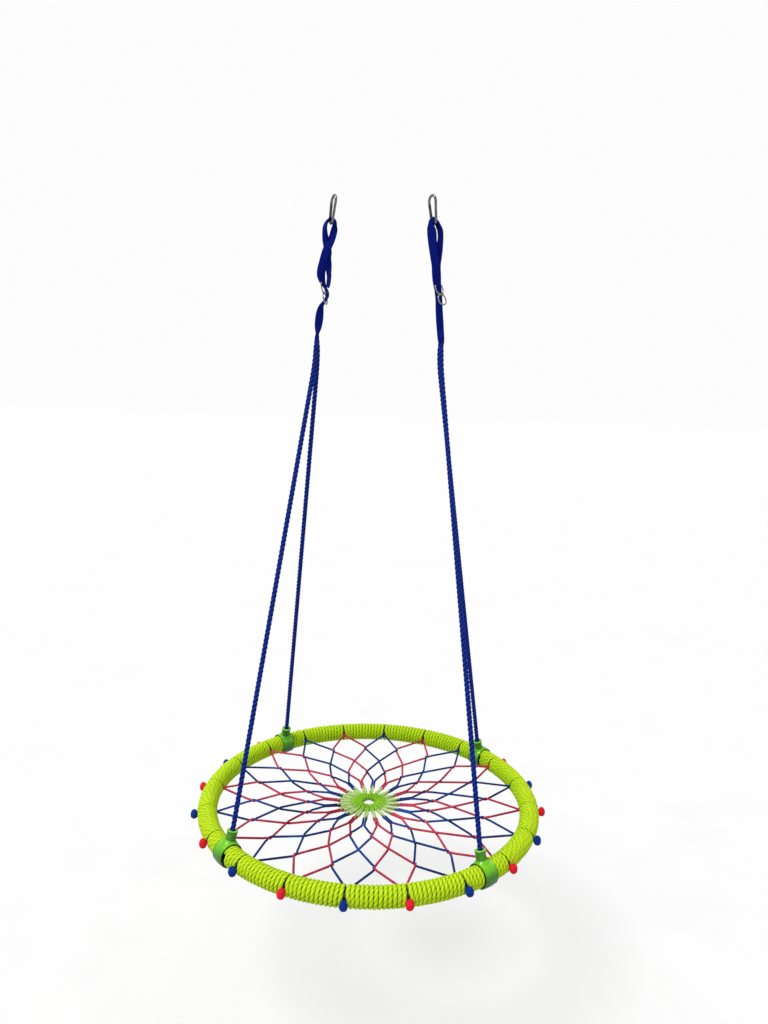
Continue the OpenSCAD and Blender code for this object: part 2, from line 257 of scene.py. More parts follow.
# ---------------------------------------------------------------- materials
def lin(r, g, b):
    """A screen colour of 0 to 255 as the linear colour that a material takes."""
    levels = [((c / 255 + 0.055) / 1.055) ** 2.4 if c > 10 else c / 255 / 12.92 for c in (r, g, b)]
    return tuple(levels) + (1.0,)


class Look:
    """A Principled material with short calls for its nodes. Most return the output of a new node."""

    def __init__(self, name, rough=0.5, **inputs):
        self.material = bpy.data.materials.new(name)
        self.material.use_nodes = True
        self.tree = self.material.node_tree
        self.shader = next(n for n in self.tree.nodes if n.type == "BSDF_PRINCIPLED")
        self.shader.inputs["Roughness"].default_value = rough
        for k, v in inputs.items():
            self.shader.inputs[k.replace("_", " ")].default_value = v

    def link(self, a, b):
        self.tree.links.new(a, b)

    def put(self, socket, value):
        """Give a socket a fixed value or another node's output."""
        if isinstance(value, bpy.types.NodeSocket):
            self.link(value, socket)
        else:
            socket.default_value = value

    def attr(self, name, out="Vector"):
        n = self.tree.nodes.new("ShaderNodeAttribute")
        n.attribute_name = name
        return n.outputs[out]

    def coord(self):
        return self.tree.nodes.new("ShaderNodeTexCoord").outputs["Object"]

    def normal(self):
        return self.tree.nodes.new("ShaderNodeNewGeometry").outputs["Normal"]

    def camera_ray(self):
        return self.tree.nodes.new("ShaderNodeLightPath").outputs["Is Camera Ray"]

    def scaled(self, vec, scale):
        n = self.tree.nodes.new("ShaderNodeVectorMath")
        n.operation = "MULTIPLY"
        self.link(vec, n.inputs[0])
        n.inputs[1].default_value = scale
        return n.outputs[0]

    def split(self, vec):
        n = self.tree.nodes.new("ShaderNodeSeparateXYZ")
        self.link(vec, n.inputs[0])
        return n.outputs

    def calc(self, op, a, b=0.0, c=0.0):
        n = self.tree.nodes.new("ShaderNodeMath")
        n.operation = op
        self.put(n.inputs[0], a)
        self.put(n.inputs[1], b)
        if len(n.inputs) > 2:
            self.put(n.inputs[2], c)
        return n.outputs[0]

    def weighted(self, a, weight_a, b, weight_b):
        """Two values, each times its weight, added."""
        return self.calc("ADD", self.calc("MULTIPLY", a, weight_a), self.calc("MULTIPLY", b, weight_b))

    def hypot(self, x, y):
        """Length of the vector x, y."""
        return self.calc("SQRT", self.calc("ADD", self.calc("MULTIPLY", x, x), self.calc("MULTIPLY", y, y)))

    def noise(self, vec, scale, detail=3.0, rough=0.55):
        """Noise whose features are about 1 / scale across, in the units of vec."""
        n = self.tree.nodes.new("ShaderNodeTexNoise")
        self.link(vec, n.inputs["Vector"])
        n.inputs["Scale"].default_value = scale
        n.inputs["Detail"].default_value = detail
        n.inputs["Roughness"].default_value = rough
        return n.outputs["Fac"]

    def ramp(self, fac, stops):
        n = self.tree.nodes.new("ShaderNodeValToRGB")
        r = n.color_ramp
        while len(r.elements) < len(stops):
            r.elements.new(0.5)
        for e, (pos, col) in zip(r.elements, stops):
            e.position = pos
            e.color = col
        self.link(fac, n.inputs["Fac"])
        return n.outputs["Color"]

    def grey(self, fac, lo, hi, out_lo=0.0, out_hi=1.0):
        """The value brought from lo..hi to out_lo..out_hi, and no further."""
        n = self.tree.nodes.new("ShaderNodeMapRange")
        self.link(fac, n.inputs["Value"])
        for key, v in zip(("From Min", "From Max", "To Min", "To Max"), (lo, hi, out_lo, out_hi)):
            n.inputs[key].default_value = v
        return n.outputs["Result"]

    def mix(self, fac, a, b):
        n = self.tree.nodes.new("ShaderNodeMix")
        n.data_type = "RGBA"
        self.put(n.inputs["Factor"], fac)
        sock = [i for i in n.inputs if i.type == "RGBA"]
        self.put(sock[0], a)
        self.put(sock[1], b)
        return next(o for o in n.outputs if o.type == "RGBA")

    def colour(self, sock):
        self.put(self.shader.inputs["Base Color"], sock)

    def rough(self, sock):
        self.put(self.shader.inputs["Roughness"], sock)

    def bump(self, height, distance, strength):
        n = self.tree.nodes.new("ShaderNodeBump")
        n.inputs["Strength"].default_value = strength
        n.inputs["Distance"].default_value = distance
        self.link(height, n.inputs["Height"])
        self.link(n.outputs["Normal"], self.shader.inputs["Normal"])


def laid_rope_look(name, dark, mid, light, rough, shine):
    """Twisted fibre rope: painted shade in the valleys, painted light on the crests, fibres along the rope
    and paler worn patches.
    """
    k = Look(name, rough, Specular_IOR_Level=shine)
    lay = k.attr("lay")
    fibres = k.noise(k.scaled(lay, (0.16, 1.0, 1.0)), 1900.0, 3.0, 0.65)
    patches = k.noise(k.coord(), 26.0)
    crest = k.calc("ADD", k.attr("lobe", "Fac"), k.calc("MULTIPLY", k.calc("SUBTRACT", fibres, 0.5), 0.75))
    # painted shade and light: the lobe tone sets the dark colour in the valleys and the light one on the crests
    base = k.ramp(crest, [(0.02, dark), (0.4, mid), (1.0, light)])
    worn = k.mix(k.grey(patches, 0.35, 0.75, 0.0, 0.22), base, light)
    k.colour(k.mix(k.grey(fibres, 0.25, 0.5, 0.28, 0.0), worn, dark))
    k.rough(k.grey(fibres, 0.3, 0.8, rough + 0.15, rough - 0.08))
    k.bump(fibres, 0.5 * MM, 0.8)
    return k.material


def braided_look(name, dark, mid, light, rough=0.5, rim=None, relief=0.0, shine=0.2, drift=0.0):
    """Fine braid: two sets of strands that cross round the cord.

    rim gives the three colours for what lies beyond the hub's core. relief paints shade into the valleys of
    the mesh, and drift lets whole lengths of cord run darker or paler."""
    strands, pitch = 8, 4.2 * MM
    core_end, rim_start = 42 * MM, 66 * MM
    k = Look(name, rough, Specular_IOR_Level=shine)
    lay = k.attr("lay")
    x, y, z = k.split(lay)
    ang = k.calc("MULTIPLY", k.calc("ARCTAN2", z, y), strands / 2.0)
    run = k.calc("MULTIPLY", x, math.pi / pitch)
    one = k.calc("ABSOLUTE", k.calc("SINE", k.calc("ADD", ang, run)))
    two = k.calc("ABSOLUTE", k.calc("SINE", k.calc("SUBTRACT", ang, run)))
    diamond = k.calc("MULTIPLY", one, two)
    fibres = k.noise(k.scaled(lay, (0.3, 1.0, 1.0)), 3200.0, 2.0)
    patches = k.noise(k.coord(), 34.0)
    height = k.weighted(diamond, 0.8, fibres, 0.25)
    stops = (0.08, 0.45, 0.95)
    base = k.ramp(height, list(zip(stops, (dark, mid, light))))
    base = k.mix(k.grey(patches, 0.4, 0.72, 0.0, 0.25), base, light)
    if drift:
        runs = k.noise(k.coord(), 13.0, 2.0)
        base = k.mix(k.grey(runs, 0.34, 0.48, drift, 0.0), base, dark)
        base = k.mix(k.grey(runs, 0.52, 0.68, 0.0, drift), base, light)
    if rim:
        from_x, from_y, _ = k.split(k.coord())
        far = k.hypot(from_x, from_y)
        outer = k.ramp(height, list(zip(stops, rim)))
        base = k.mix(k.grey(far, core_end, rim_start), base, outer)
    if relief:
        # painted shade in the valleys of the mesh
        base = k.mix(k.grey(k.attr("lobe", "Fac"), 0.0, 0.7, relief, 0.0), base, dark)
    k.colour(base)
    k.rough(k.grey(height, 0.1, 0.9, rough + 0.15, rough - 0.05))
    k.bump(height, 0.6 * MM, 0.9)
    return k.material


def webbing_look(name, dark, mid, light):
    """Woven tape: two sets of ribs that cross, with fibres in them."""
    rib_along, rib_across = 1.6 * MM, 1.9 * MM
    k = Look(name, 0.6, Specular_IOR_Level=0.06)
    lay = k.attr("lay")
    x, y, _ = k.split(lay)
    along = k.calc("MULTIPLY", x, 2 * math.pi / rib_along)
    across = k.calc("MULTIPLY", y, 2 * math.pi / rib_across)
    one = k.calc("SINE", k.calc("ADD", along, across))
    two = k.calc("SINE", k.calc("SUBTRACT", k.calc("MULTIPLY", along, 0.5), across))
    weave = k.calc("MULTIPLY_ADD", k.calc("MULTIPLY", one, two), 0.35, 0.5)
    fibres = k.noise(k.scaled(lay, (0.5, 1.0, 1.0)), 2600.0, 2.0)
    patches = k.noise(k.coord(), 40.0, 4.0)
    height = k.weighted(weave, 0.8, fibres, 0.25)
    base = k.ramp(height, [(0.15, dark), (0.5, mid), (0.9, light)])
    k.colour(k.mix(k.grey(patches, 0.4, 0.7, 0.0, 0.3), base, mid))
    k.rough(k.grey(height, 0.2, 0.8, 0.68, 0.48))
    k.bump(height, 0.5 * MM, 0.8)
    return k.material


def plastic_look(name, dark, mid, light, gap):
    """Glossy moulded plastic with faint flow marks and scuffs, and painted light: paler where it faces up."""
    gap_start, gap_end = WRAP_R + 1.6 * MM, WRAP_R + 3.2 * MM
    k = Look(name, 0.3, Coat_Weight=0.5, Coat_Roughness=0.12, Specular_IOR_Level=0.35)
    co = k.coord()
    flow = k.noise(k.scaled(co, (1.0, 1.0, 2.2)), 22.0, 4.0)
    grain = k.noise(co, 1500.0, 2.0)
    scuff = k.noise(k.scaled(co, (1.0, 1.0, 6.0)), 160.0, 5.0, 0.7)
    # painted light and shade: the tone rises as the surface faces up
    facing = k.split(k.normal())[2]
    tone = k.calc("ADD", k.calc("MULTIPLY", flow, 0.35), k.grey(facing, -0.7, 0.95, 0.0, 0.7))
    base = k.ramp(tone, [(0.2, dark), (0.55, mid), (0.9, light)])
    # painted shadow: the collar is painted near black where the narrow gap between it and the rope lies in shade
    x, y, z = k.split(co)
    out = k.calc("SUBTRACT", k.hypot(x, y), RING_R)
    high = k.calc("SUBTRACT", z, RING_Z)
    k.colour(k.mix(k.grey(k.hypot(out, high), gap_start, gap_end), gap, base))
    k.rough(k.calc("ADD", k.grey(flow, 0.3, 0.7, 0.24, 0.36), k.grey(scuff, 0.6, 0.8, 0.0, 0.2)))
    k.bump(k.calc("ADD", k.calc("MULTIPLY", grain, 0.3), scuff), 0.12 * MM, 0.6)
    return k.material


def metal_look(name, dark, light, rough):
    """Plated wire: fine drawn scratches and duller patches."""
    spot_scale = 420.0
    k = Look(name, rough, Metallic=1.0)
    co = k.coord()
    cloud = k.noise(co, 70.0, 4.0)
    lines = k.noise(k.scaled(co, (1.0, 1.0, 0.12)), spot_scale * 4, 3.0, 0.7)
    spots = k.noise(co, spot_scale, 5.0, 0.7)
    base = k.ramp(k.weighted(cloud, 0.6, lines, 0.4), [(0.3, dark), (0.7, light)])
    k.colour(k.mix(k.grey(spots, 0.62, 0.75, 0.0, 0.55), base, dark))
    cloudy = k.grey(cloud, 0.3, 0.7, rough - 0.06, rough + 0.1)
    k.rough(k.calc("ADD", cloudy, k.grey(spots, 0.6, 0.8, 0.0, 0.2)))
    k.bump(k.calc("ADD", lines, spots), 0.08 * MM, 0.5)
    return k.material


# the ropes' dark and light colours are painted shade and painted light, laid on by the lobe tone
LIME = laid_rope_look("lime_rope", lin(44, 96, 0), lin(158, 210, 4), lin(232, 252, 48), 0.42, 0.1)
BLUE_ROPE = laid_rope_look("blue_rope", lin(0, 2, 50), lin(0, 18, 112), lin(10, 56, 168), 0.5, 0.12)
RED_CORD = braided_look("red_cord", lin(126, 4, 34), lin(204, 20, 64), lin(242, 90, 124), drift=0.45)
BLUE_CORD = braided_look("blue_cord", lin(1, 5, 48), lin(4, 26, 104), lin(26, 96, 196), drift=0.6)
RED_KNOT = braided_look("red_knot", lin(170, 0, 14), lin(255, 0, 30), lin(255, 70, 92),
                        rough=0.3, relief=0.5, shine=0.08)
BLUE_KNOT = braided_look("blue_knot", lin(0, 4, 60), lin(0, 24, 134), lin(30, 100, 214),
                         rough=0.3, relief=0.6, shine=0.08)
HUB_CORD = braided_look("hub_cord", lin(84, 168, 0), lin(150, 220, 14), lin(206, 250, 84),
                        rim=(lin(112, 190, 24), lin(228, 248, 160), lin(252, 255, 226)),
                        rough=0.4, relief=0.35)
# the core is a darker green than the loops: painted shade in the slots between them
HUB_CORE = braided_look("hub_core", lin(24, 84, 0), lin(72, 158, 0), lin(112, 196, 14))
WEBBING = webbing_look("blue_webbing", lin(0, 2, 58), lin(0, 16, 118), lin(6, 44, 164))
# dark, mid and light are the green in painted shade, side light and painted light; the last colour is the painted
# shadow in the gap
PLASTIC = plastic_look("connector_plastic", lin(18, 72, 0), lin(60, 144, 0), lin(130, 224, 8), lin(8, 22, 2))
HOOP = metal_look("hoop_steel", lin(70, 74, 70), lin(120, 124, 120), 0.45)
STEEL = metal_look("carabiner_steel", lin(84, 82, 76), lin(164, 162, 154), 0.22)
GATE = metal_look("gate_steel", lin(52, 50, 46), lin(112, 110, 102), 0.26)
WIRE = metal_look("slider_wire", lin(116, 114, 104), lin(186, 184, 172), 0.24)
PIN = metal_look("pin_steel", lin(120, 118, 112), lin(190, 188, 180), 0.3)


# ---------------------------------------------------------------- rope wound on the hoop
WOUND_R = (WRAP_R - TUBE_R) / 2  # radius of the wound rope
TURNS_BETWEEN = 13               # turns from one net cord to the next
HOLE_GAP = 3.6 * MM              # extra room between the turns where a net cord comes through
PUSH = 5.4 * MM                  # how far a cord pushes aside the turn next to it
COLLAR_HALF = 20.6 * MM          # length of ring that a connector covers on either side of its middle
TURN_POINTS = 48


def wrap_quarter(node, middle):
    """One quarter of the wound rope: a laid rope on a helix, parted where the net cords come through."""
    pitch = (STEP * RING_R - HOLE_GAP) / TURNS_BETWEEN
    # of a quarter's five gaps, two and a half lie on either side of its middle
    half = (math.pi / 4 * RING_R - COLLAR_HALF - 2.5 * HOLE_GAP) / pitch
    tau = np.linspace(-half, half, int(2 * half * TURN_POINTS))
    phi = 2 * math.pi * tau - math.pi / 2
    x = pitch * tau
    for hole in range(-2, 3):
        d = tau - hole * TURNS_BETWEEN
        s = np.clip(d / 0.5 + 0.5, 0, 1)
        x = x + HOLE_GAP * (s * s * (3 - 2 * s) - 0.5)
        # Outside the ring the turns after the hole are pushed far aside and those before it a little, and
        # inside it is the other way round. The rope is outside a quarter turn after the hole's middle and
        # inside a quarter turn before it, so this centres both openings on the cord.
        ahead = np.cos(phi) * np.sign(d)
        near = np.maximum(0, ahead) ** 6 + 0.1 * np.maximum(0, -ahead) ** 6
        x = x + np.sign(d) * PUSH * np.exp(-0.34 * np.maximum(0, np.abs(d) - 0.25)) * near
    # no two turns lie quite alike
    x = x + 0.22 * MM * np.sin(phi * 0.37 + middle * 3) * np.sin(tau * 1.7)
    slip = middle * 5 + 0.9 * np.sin(tau * 2.3 + middle) + 0.7 * np.sin(tau * 0.9 + 2 * middle)
    a = middle + x / RING_R
    out = np.stack([np.cos(a), np.sin(a), 0 * a], 1)
    normal = np.cos(phi)[:, None] * out + np.sin(phi)[:, None] * UP
    centre = RING_R * out + np.array([0, 0, RING_Z])
    path = centre + (TUBE_R + WOUND_R * 1.01) * normal
    # painted shade: the rope is darker on the inside of the ring
    painted_shade_inside = 1 - 0.3 * np.maximum(0, -np.cos(phi))
    pile = Pile()
    add_rope(pile, path, WOUND_R * 1.02, 36 * MM, sides=16, fullness=0.74, offset=slip, normal=normal,
             facing=0.7, shade=painted_shade_inside)
    pile.piece(node + "_laid", LIME, "wrap_rope", node, "seat")


for quarter, degrees in (("front", 270), ("right", 0), ("back", 90), ("left", 180)):
    wrap_quarter("rope_wrap_" + quarter, math.radians(degrees))


# ---------------------------------------------------------------- net cords and knots
# The net is laid out in millimetres. Each cord is two strands that start on either side of one radius.
RING = RING_R / MM
WRAP = WRAP_R / MM
HUB = HUB_R / MM
CORD = CORD_D / MM
HOOK_OUT, HOOK_IN = 346.0, 186.0  # radii where a red and a blue strand hook round each other
CROSSING = 260.0                  # radius where a cord's own two strands cross
TOGETHER = 134.0                  # radius where they come to lie side by side
KNOT_R, KNOT_HALF = 10.6, 13.6    # radius and half height of a ball knot
KNOT_OUT, KNOT_DROP = 8.6, 1.2    # how far its middle stands out from the wound rope and hangs down


def net_z(r):
    """Height of the net's cone above the ring's middle at the radius r, both in metres."""
    return -(RING_Z - HUB_Z) * (RING_R - r) / (RING_R - HUB_R)


def at(r, a, left=0.0, above=0.0):
    """The place r mm out at angle a, so many mm left of that radius and above the cone of the net."""
    r, left, above = r * MM, left * MM, above * MM
    x = r * math.cos(a) - left * math.sin(a)
    y = r * math.sin(a) + left * math.cos(a)
    return (x, y, RING_Z + net_z(r) + above)


def hook(r, a, side, over):
    """Where a red and a blue strand hook round each other, one over outside and under inside."""
    m = a + side * STEP / 2
    v = CORD if over else -CORD
    # out from the hook's radius, left and above, in cord thicknesses
    bends = [(2.2, -0.8, 0.3), (0.85, -0.06, 0.44), (0.25, 0.32, 0.2)]
    outer = [at(r + out * CORD, m, side * left * CORD, above * v) for out, left, above in bends]
    inner = [at(r - out * CORD, m, side * left * CORD, -above * v) for out, left, above in bends]
    return outer + inner[::-1]


def strand(a, side, over):
    """One of a cord's two strands, from outside the ring to the cord's eye in its hub loop."""
    gap = CORD / 2 + 0.05
    through = [at(RING + WRAP + 1, a, side * gap), at(RING - WRAP - 1, a, side * gap)]
    crossing = [at(CROSSING, a, 0, side * 0.53 * CORD)]
    # radius, and distance from the cord's middle in cord thicknesses
    beside = [(TOGETHER, 0.52), (HUB + 14, 0.5), (HUB + 7, 0.66), (HUB + 1, 0.74), (HUB - 6, 0.4)]
    return (through + hook(HOOK_OUT, a, side, over) + crossing + hook(HOOK_IN, a, -side, over)
            + [at(r, a, -side * part * CORD) for r, part in beside])


def add_knot(pile, a):
    """The ball knot outside the ring: an egg of crossing turns of the cord, a little different each time."""
    out = np.array([math.cos(a), math.sin(a), 0.0])
    side = np.array([-math.sin(a), math.cos(a), 0.0])
    centre = out * (RING + WRAP + KNOT_OUT) * MM + UP * (RING_Z - KNOT_DROP * MM)
    lean = rng.uniform(-0.16, 0.16)
    spin = rng.uniform(0, 2 * math.pi)
    pole = math.cos(lean) * UP + math.sin(lean) * side
    east = np.cross(pole, out)
    h = np.radians(np.linspace(-88, 88, 41))[:, None]
    psi = around(56)[None, :]
    turns = [np.abs(np.cos(2.5 * psi + sign * 2.7 * h + spin)) for sign in (1, -1)]
    relief = np.maximum(turns[0], turns[1]) ** 0.6
    size = 0.86 + 0.14 * relief
    flat = np.cos(h) ** 0.86 * (1 - 0.1 * np.sin(h))
    rings = (centre + (KNOT_R * MM * flat * size * np.cos(psi))[..., None] * out
             + (KNOT_R * MM * flat * size * np.sin(psi))[..., None] * east
             + (KNOT_HALF * MM * np.sin(h) * (0.94 + 0.06 * relief))[..., None] * pole)
    # the braid's pattern runs from pole to pole and comes twice round the knot
    lay = np.stack([KNOT_HALF * MM * h + 0 * psi, 3 * MM * np.cos(2 * psi) + 0 * h,
                    3 * MM * np.sin(2 * psi) + 0 * h], -1)
    # relief is also the tone, from which the knot material paints shade between the turns
    pile.tube(rings, lay, relief)


def net(colour, first, over, cord_look, knot_look):
    """Every second cord from the first, with its knots."""
    cords, knots = Pile(), Pile()
    for k in range(first, CORDS, 2):
        a = k * STEP
        points = strand(a, 1, over) + strand(a, -1, over)[::-1]
        p = resampled(rounded(points, 3.2 * MM, 5), 2.2 * MM)
        far = np.hypot(p[:, 0], p[:, 1]) / MM
        # a cord is drawn thin where it hooks and where it turns through the hub loop
        tight = sum(np.exp(-((far - row) / 7) ** 2) for row in (HOOK_OUT, HOOK_IN))
        radius = CORD_D / 2 * (1 - 0.12 * tight) * np.interp(far, [HUB - 4, HUB + 8], [0.74, 1])
        add_rope(cords, p, radius, 11 * MM, sides=12, fullness=0.85, offset=k)
        add_knot(knots, a)
    node = "net_cords_" + colour
    cords.piece(node + "_braid", cord_look, colour + "_cord", node, "seat")
    knots.piece("ball_knots_" + colour, knot_look, colour + "_cord", body="seat")


net("red", 0, True, RED_CORD, RED_KNOT)
net("blue", 1, False, BLUE_CORD, BLUE_KNOT)


# ---------------------------------------------------------------- hub
# The core is a flat ring. These are the middle radius, half width and half height of the loops' path
# round it, in mm.
CORE_R, CORE_W, CORE_H = 33.0, 17.0, 6.6
CORE_SKIN = 1.6  # how far the core itself lies inside the path of the loops


def at_hub(r, a, left, above):
    """The place r mm out at angle a, left of that radius and above the middle of the hub."""
    level = net_z(HUB * MM) / MM
    return at(r, a, left, above - net_z(r * MM) / MM + level)


def loop_radius(r):
    """Radius of a hub loop's strand, r mm from the middle: it is squeezed where loops crowd the core."""
    return np.interp(r, [13, 20, 30, 46, 60, 84, 92], [1.1, 1.5, 2.1, 2.8, 3.5, 3.3, 2.4])


def round_core(start, stop, a, side):
    """A strand's path round the core's section between two angles in degrees, on one side of angle a."""
    section = [(CORE_R + CORE_W * math.cos(phi), CORE_H * math.sin(phi))
               for phi in np.radians(np.arange(start, stop, -15))]
    return [at_hub(r, a, side * 1.03 * loop_radius(r), h) for r, h in section]


def hub_loops():
    """Each loop is a hitch of two strands on the core that holds the eye of one net cord."""
    loops = Pile()
    lift = 0.72 * CORD
    for k in range(CORDS):
        a = k * STEP
        # one strand comes out above, turns through the cord's eye and goes back in below
        eye = [at(62, a, -3.4, 3.6), at(HUB - 9, a, -2.6, lift), at(HUB + 0.5, a, -0.5, lift),
               at(HUB + 0.5, a, 0.5, -lift), at(HUB - 9, a, 2.6, -lift), at(62, a, 3.4, -3.6)]
        first = round_core(150, -1, a, -1) + eye + round_core(0, -211, a, 1)
        # the second strand of the hitch lies beside the first and ends under it
        tail = [at(60, a, 3.4, 3.0), at(78, a, 3.2, 1.4), at(HUB - 7, a, 2.4, -0.4)]
        second = round_core(150, -1, a, 1)[:-1] + tail
        for path, phase in ((first, 1.3), (second, 2.1)):
            p = resampled(rounded(path, 2.6 * MM, 4), 1.6 * MM)
            radius = loop_radius(np.hypot(p[:, 0], p[:, 1]) / MM) * MM
            add_rope(loops, p, radius, 9 * MM, sides=12, fullness=0.85, offset=k * phase, strands=2)
    loops.piece("hub_loops_braid", HUB_CORD, "green_cord", "hub_loops", "seat")


def hub_core():
    """The ring under the loops, a little rippled by them. Its darker green is painted shade, seen in the slots
    between the loops.
    """
    stations, sides = 160, 24
    t = np.linspace(0, 2 * math.pi, stations, endpoint=False)
    centre = np.stack([CORE_R * MM * np.cos(t), CORE_R * MM * np.sin(t), 0 * t + HUB_Z], 1)
    psi = around(sides)
    out = unit(centre * [1, 1, 0])
    ripple = 1 + 0.035 * np.cos(2 * CORDS * t)[:, None] * np.ones(sides)
    rings = (centre[:, None] + ((CORE_W - CORE_SKIN) * MM * np.cos(psi) * ripple)[..., None] * out[:, None]
             + ((CORE_H - CORE_SKIN) * MM * np.sin(psi) * ripple)[..., None] * UP)
    every = np.ones((stations, 1))
    along = np.broadcast_to((t * (30 * MM))[:, None], (stations, sides))
    lay = np.stack([along, 3 * MM * np.cos(psi) * every, 3 * MM * np.sin(psi) * every], -1)
    core = Pile()
    core.tube(rings[:, ::-1], lay[:, ::-1], np.full((stations, sides), 0.4), closed=True)
    core.piece("hub_ring_core", HUB_CORE, "green_cord", "hub_ring", "seat")


hub_loops()
hub_core()


# ---------------------------------------------------------------- the two sides
class Side:
    """One side of the swing. Its strap leans, and has its own frame: right, back and up along the strap."""

    def __init__(self, name, sign):
        self.name = name
        self.sign = sign
        self.up = unit(JOINTS[name + "_slider_slide"]["axis"])
        self.right = np.array([self.up[2], 0, -self.up[0]])
        # the foot is where the strap's line comes down to the height of the rope's bend
        eye = MOUNTS[name + "_hook_eye"]
        self.foot = eye + self.up * (BEND_Z - eye[2]) / self.up[2]

    def along(self, up):
        """The place that is up mm along the strap from its foot."""
        return tuple(self.foot + self.up * up * MM)


LEFT = Side("left", -1)
RIGHT = Side("right", 1)


# ---------------------------------------------------------------- hanging ropes
NECK_TILT = math.radians(15)  # how far the necks of the connectors lean in
NECK_IN = 31 * MM             # where the rope starts in the neck, from the ring's middle line
NECK_H = 61 * MM              # top of the neck, from the same line
SPLIT = 70 * MM               # how far below the bend the two legs part
LEG_Y = ROPE_R + 0.4 * MM     # how far in front of or behind the middle each leg lies there
BEND_Y = 5.2 * MM             # and where it bends over
BEND_R = 4.8 * MM             # radius of the rope where the sewn end grips it


def hanging_rope(side, front_lie, back_lie):
    """One rope from connector to connector, bent over in the sewn end of its strap.

    A lie is how many mm to the right of the foot a leg hangs, where the legs part and at the bend."""

    def leg(m, lie):
        c = math.sqrt(0.5)
        points = []
        for h in (NECK_IN, NECK_H):
            r = RING_R - h * math.sin(NECK_TILT)
            points.append((side.sign * r * c, m * r * c, RING_Z + h * math.cos(NECK_TILT)))
        points.append((side.foot[0] + lie[0] * MM, m * LEG_Y, BEND_Z - SPLIT))
        points.append((side.foot[0] + lie[1] * MM, m * BEND_Y, BEND_Z - 4 * MM))
        return points

    front, back = leg(-1, front_lie), leg(1, back_lie)
    x, _, top = front[-1]
    shift = back[-1][0] - x
    arc = [(x + shift * t / math.pi, -BEND_Y * math.cos(t), top + BEND_Y * math.sin(t))
           for t in np.linspace(0, math.pi, 13)[1:-1]]
    cuts = [0, 14 * MM, 40 * MM, 0]
    p = resampled(np.vstack([rounded(front, cuts, 12), arc, rounded(back, cuts, 12)[::-1]]), 2.6 * MM)
    radius = np.interp(p[:, 2], [BEND_Z - 34 * MM, BEND_Z - 6 * MM], [ROPE_R, BEND_R])
    pile = Pile()
    add_rope(pile, p, radius, 38 * MM, sides=18, fullness=0.62, offset=side.sign)
    node = "hanging_rope_" + side.name
    pile.piece(node + "_laid", BLUE_ROPE, "blue_rope", node, "seat")


hanging_rope(LEFT, (-3.2, -0.8), (0.8, 0.8))
hanging_rope(RIGHT, (-3, -4), (-8.4, -8))


# ---------------------------------------------------------------- straps
# A tape goes through stations in its side's own frame. In mm, they are: right, back, up, half width and
# half thickness, then the degrees by which the width is turned from right towards back. The last number,
# if any, is how far the edges stand up in mm, where the tape is drawn into the narrow bend of a wire.
# LOW is the doubled webbing below the slider, and LOOP the webbing above it.
LEFT_LOW = [
    (0, 0, -3, 4, 2.8, 6), (0, 0, 4, 4.6, 2.8, 8), (0, 0, 12, 7, 2.6, 10), (0, 0, 21, 9.6, 2.5, 10),
    (0, 0, 33, 11.4, 2.5, 10), (0, 0, 47, 11.9, 2.5, 10), (0, 0, 63, 11, 2.5, 28),
    (1.5, 0, 80, 9.6, 2.4, 60), (7, 0, 92, 8.8, 2.3, 75), (13, -1, 103, 8.8, 2.3, 76),
    (15, -1, 112, 8.8, 2.3, 76), (14.6, -1, 116, 8, 2, 76)]
LEFT_LOOP = [
    # from the slider up to the hook
    (14.6, -1, 108, 7.8, 2, 76), (15, -1, 112, 8.8, 2.3, 76), (12.5, -1, 122, 8.8, 2.3, 75),
    (4, 0, 133, 9, 2.3, 66), (-4, 0, 146, 9.6, 2.4, 36), (-9.6, 0, 162, 11.4, 2.5, 12),
    (-10, -2, 178, 11.6, 2.7, 5), (-8, -4, 196, 10.8, 3, 0), (-5.8, -4.5, 210, 11, 3.1, -2),
    (-3, -4, 226, 11, 3.1, -4), (2.4, -2.5, 243, 10.8, 3.1, -8), (7.4, 0, 259, 10.2, 3.2, -12),
    (9.8, 4, 281, 10.2, 3.2, -20),
    # round the wire of the hook
    (9, 4.2, 294, 8.4, 2.9, -34, 2), (7.6, 3, 305, 6.0, 2.6, -52, 5), (0, 0, 309.6, 5.0, 2.3, -62, 8),
    (-8, -3.2, 304.4, 5.6, 2.4, -56, 4), (-12.6, -4.7, 293, 7.8, 2.7, -46, 2),
    # and down again to the slider
    (-13.8, -2.5, 279, 8.8, 3.2, -40), (-9.6, 1, 258, 10.2, 3.2, -24), (-3.8, 3.6, 240, 10.6, 3.1, -14),
    (0.6, 4.6, 226, 10.4, 3.1, -6), (1.6, 5, 210, 9.8, 3, 4), (5, 4.5, 192, 10.4, 2.9, 24),
    (9, 2.5, 176, 10, 2.5, 52), (12.8, 0.5, 160, 9.8, 2.4, 66), (13.4, 0, 145, 9.8, 2.4, 70),
    (12.8, 0, 135, 9, 2.2, 72), (11.6, 0, 131.5, 7, 1.5, 72)]
RIGHT_LOW = [
    (-6, 0, -4, 9.8, 2.8, 8), (-5.6, 0, 40, 10.6, 2.7, 8), (-4.8, 0, 74, 10.4, 2.7, 12),
    (-3.6, 0.8, 96, 10.2, 2.4, 18), (-3.2, 1.2, 112, 10, 2.3, 22), (-3.3, 1.2, 117, 9.6, 2, 22)]
